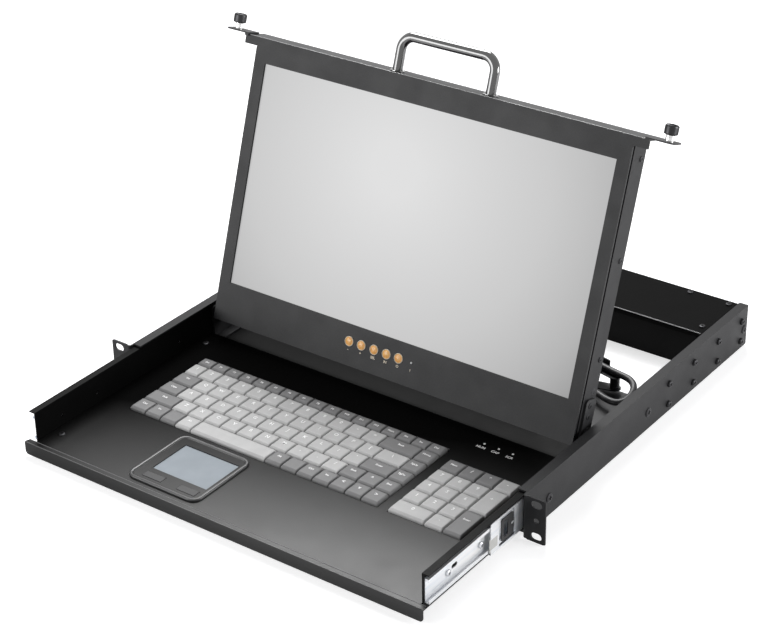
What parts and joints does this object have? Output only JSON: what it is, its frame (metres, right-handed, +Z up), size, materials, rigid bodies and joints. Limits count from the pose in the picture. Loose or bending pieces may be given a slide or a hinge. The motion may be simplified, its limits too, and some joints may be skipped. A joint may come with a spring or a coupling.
{
  "type": "rackmount LCD console drawer",
  "caption": "Slide-out rack console drawer, one unit high, with flip-up widescreen display, keyboard with number pad, touchpad and rear electronics box on a folding cable arm.",
  "frame": {"origin": "centre of the rack ear slot pattern on the ears' front face", "axes": "+X to the right seen from the user, -Y towards the user, +Z up; the ears face -Y and their slots run through along Y"},
  "size_m": [0.4826, 0.5452, 0.327],
  "materials": {
    "black_powder": "fine textured black powder coat",
    "black_plain": "matt black paint",
    "zinc": "bright zinc-plated sheet",
    "screw_black": "black oxide screw",
    "screw_zinc": "zinc-plated screw",
    "white_plastic": "white acetal",
    "black_plastic": "black moulded plastic",
    "key_plastic": "grey moulded keys",
    "screen_glass": "satin display surface",
    "board": "green circuit board",
    "orange": "orange translucent button",
    "lamp": "clear light pipe",
    "chrome": "gloss black nickel",
    "knob": "black knurled metal",
    "cable": "black cable jacket",
    "pad": "grey touch surface"
  },
  "bodies": {
    "chassis": {"chassis_side_left": "black_powder", "chassis_side_right": "black_powder", "bottom_pan": "black_plain", "rear_box_base": "black_powder", "rear_box_cover": "black_powder", "chassis_screws": "screw_black", "power_supply": "board", "switch_board": "board", "rear_connectors": "screw_zinc", "power_inlet": "black_plastic", "outer_slide_left": "zinc", "outer_slide_right": "zinc", "arm_box_bracket": "black_plain"},
    "middle_slides": {"middle_slide_left": "zinc", "middle_slide_right": "zinc", "slide_retainers": "white_plastic"},
    "ball_cages": {"ball_cages": "zinc"},
    "lever_left": {"release_lever_left": "black_plastic"},
    "lever_right": {"release_lever_right": "black_plastic"},
    "tray": {"tray_pan": "black_powder", "deck_plate": "black_powder", "inner_slide_left": "zinc", "inner_slide_right": "zinc", "tray_screws": "screw_black", "keyboard_bases": "black_plain", "touchpad_frame": "black_plastic", "touch_surface": "pad", "controller_board": "board", "status_lamps": "lamp", "hinge_brackets": "black_plain", "arm_tray_bracket": "black_plain"},
    "screen": {"lcd_bezel": "black_powder", "lcd_panel": "screen_glass", "lcd_back_housing": "black_powder", "lcd_circuit_boards": "board", "front_panel": "black_powder", "pull_handle": "chrome", "hinge_leaves": "black_plain", "lcd_fasteners": "screw_black", "power_lamp": "lamp"},
    "knob_left": {"thumbscrew_left": "knob"},
    "knob_right": {"thumbscrew_right": "knob"},
    "rear_link": {"arm_rear_link": "black_plain", "cable_rear": "cable"},
    "front_link": {"arm_front_link": "black_plain", "cable_front": "cable"},
    "numpad": {"numpad_keys": "key_plastic"},
    "pad_button_left": {"touch_button_left": "key_plastic"},
    "pad_button_right": {"touch_button_right": "key_plastic"},
    "keys_1": {"key_row_1": "key_plastic"},
    "keys_2": {"key_row_2": "key_plastic"},
    "keys_3": {"key_row_3": "key_plastic"},
    "keys_4": {"key_row_4": "key_plastic"},
    "keys_5": {"key_row_5": "key_plastic"},
    "keys_6": {"key_row_6": "key_plastic"},
    "osd_1": {"osd_button_1": "orange"},
    "osd_2": {"osd_button_2": "orange"},
    "osd_3": {"osd_button_3": "orange"},
    "osd_4": {"osd_button_4": "orange"},
    "osd_5": {"osd_button_5": "orange"}
  },
  "joints": [
    {"name": "drawer_slide", "type": "slide", "parent": "chassis", "child": "tray", "axis": [0, -1, 0], "range_m": [-0.1445, 0.156]},
    {"name": "middle_slide_travel", "type": "slide", "parent": "chassis", "child": "middle_slides", "axis": [0, -1, 0], "range_m": [-0.0735, 0.079]},
    {"name": "ball_cage_travel", "type": "slide", "parent": "chassis", "child": "ball_cages", "axis": [0, -1, 0], "range_m": [-0.109, 0.118]},
    {"name": "release_lever_left_swing", "type": "hinge", "parent": "middle_slides", "child": "lever_left", "pos_m": [-0.2172, -0.014, 0.001], "axis": [-1, 0, 0], "range_deg": [0, 4], "stiffness_Nm_per_rad": 0.5},
    {"name": "release_lever_right_swing", "type": "hinge", "parent": "middle_slides", "child": "lever_right", "pos_m": [0.2172, -0.014, 0.001], "axis": [-1, 0, 0], "range_deg": [0, 4], "stiffness_Nm_per_rad": 0.5},
    {"name": "screen_hinge", "type": "hinge", "parent": "tray", "child": "screen", "pos_m": [0, 0.1233, 0.0125], "axis": [-1, 0, 0], "range_deg": [-108.4, 8]},
    {"name": "key_row_1_press", "type": "slide", "parent": "tray", "child": "keys_1", "axis": [0, 0, -1], "range_m": [0, 0.0015], "stiffness_N_per_m": 3000},
    {"name": "key_row_2_press", "type": "slide", "parent": "tray", "child": "keys_2", "axis": [0, 0, -1], "range_m": [0, 0.0015], "stiffness_N_per_m": 3000},
    {"name": "key_row_3_press", "type": "slide", "parent": "tray", "child": "keys_3", "axis": [0, 0, -1], "range_m": [0, 0.0015], "stiffness_N_per_m": 3000},
    {"name": "key_row_4_press", "type": "slide", "parent": "tray", "child": "keys_4", "axis": [0, 0, -1], "range_m": [0, 0.0015], "stiffness_N_per_m": 3000},
    {"name": "key_row_5_press", "type": "slide", "parent": "tray", "child": "keys_5", "axis": [0, 0, -1], "range_m": [0, 0.0015], "stiffness_N_per_m": 3000},
    {"name": "key_row_6_press", "type": "slide", "parent": "tray", "child": "keys_6", "axis": [0, 0, -1], "range_m": [0, 0.0015], "stiffness_N_per_m": 3000},
    {"name": "numpad_press", "type": "slide", "parent": "tray", "child": "numpad", "axis": [0, 0, -1], "range_m": [0, 0.0015], "stiffness_N_per_m": 3000},
    {"name": "touch_button_left_press", "type": "slide", "parent": "tray", "child": "pad_button_left", "axis": [0, 0, -1], "range_m": [0, 0.0006], "stiffness_N_per_m": 1500},
    {"name": "touch_button_right_press", "type": "slide", "parent": "tray", "child": "pad_button_right", "axis": [0, 0, -1], "range_m": [0, 0.0006], "stiffness_N_per_m": 1500},
    {"name": "osd_button_1_press", "type": "slide", "parent": "screen", "child": "osd_1", "axis": [0, 0.9488, -0.3158], "range_m": [0, 0.0008], "stiffness_N_per_m": 1200},
    {"name": "osd_button_2_press", "type": "slide", "parent": "screen", "child": "osd_2", "axis": [0, 0.9488, -0.3158], "range_m": [0, 0.0008], "stiffness_N_per_m": 1200},
    {"name": "osd_button_3_press", "type": "slide", "parent": "screen", "child": "osd_3", "axis": [0, 0.9488, -0.3158], "range_m": [0, 0.0008], "stiffness_N_per_m": 1200},
    {"name": "osd_button_4_press", "type": "slide", "parent": "screen", "child": "osd_4", "axis": [0, 0.9488, -0.3158], "range_m": [0, 0.0008], "stiffness_N_per_m": 1200},
    {"name": "osd_button_5_press", "type": "slide", "parent": "screen", "child": "osd_5", "axis": [0, 0.9488, -0.3158], "range_m": [0, 0.0008], "stiffness_N_per_m": 1200},
    {"name": "thumbscrew_left_turn", "type": "hinge", "parent": "screen", "child": "knob_left", "pos_m": [-0.23255, 0.19797, 0.27642], "axis": [0, 0.3158, 0.9488], "continuous": true},
    {"name": "thumbscrew_right_turn", "type": "hinge", "parent": "screen", "child": "knob_right", "pos_m": [0.23255, 0.19797, 0.27642], "axis": [0, 0.3158, 0.9488], "continuous": true},
    {"name": "arm_rear_pivot", "type": "hinge", "parent": "chassis", "child": "rear_link", "pos_m": [-0.157, 0.3145, 0], "axis": [0, 0, -1], "range_deg": [-13.3, 14.33]},
    {"name": "arm_elbow", "type": "hinge", "parent": "rear_link", "child": "front_link", "pos_m": [0.16505, 0.2425, 0], "axis": [0, 0, 1], "range_deg": [-26.6, 28.67]}
  ],
  "couplings": [
    {"joint": "middle_slide_travel", "follows": "drawer_slide", "ratio": 0.5},
    {"joint": "ball_cage_travel", "follows": "drawer_slide", "ratio": 0.75},
    {"joint": "arm_rear_pivot", "follows": "drawer_slide", "rad_per_m": 1.57},
    {"joint": "arm_elbow", "follows": "drawer_slide", "rad_per_m": 3.14}
  ]
}
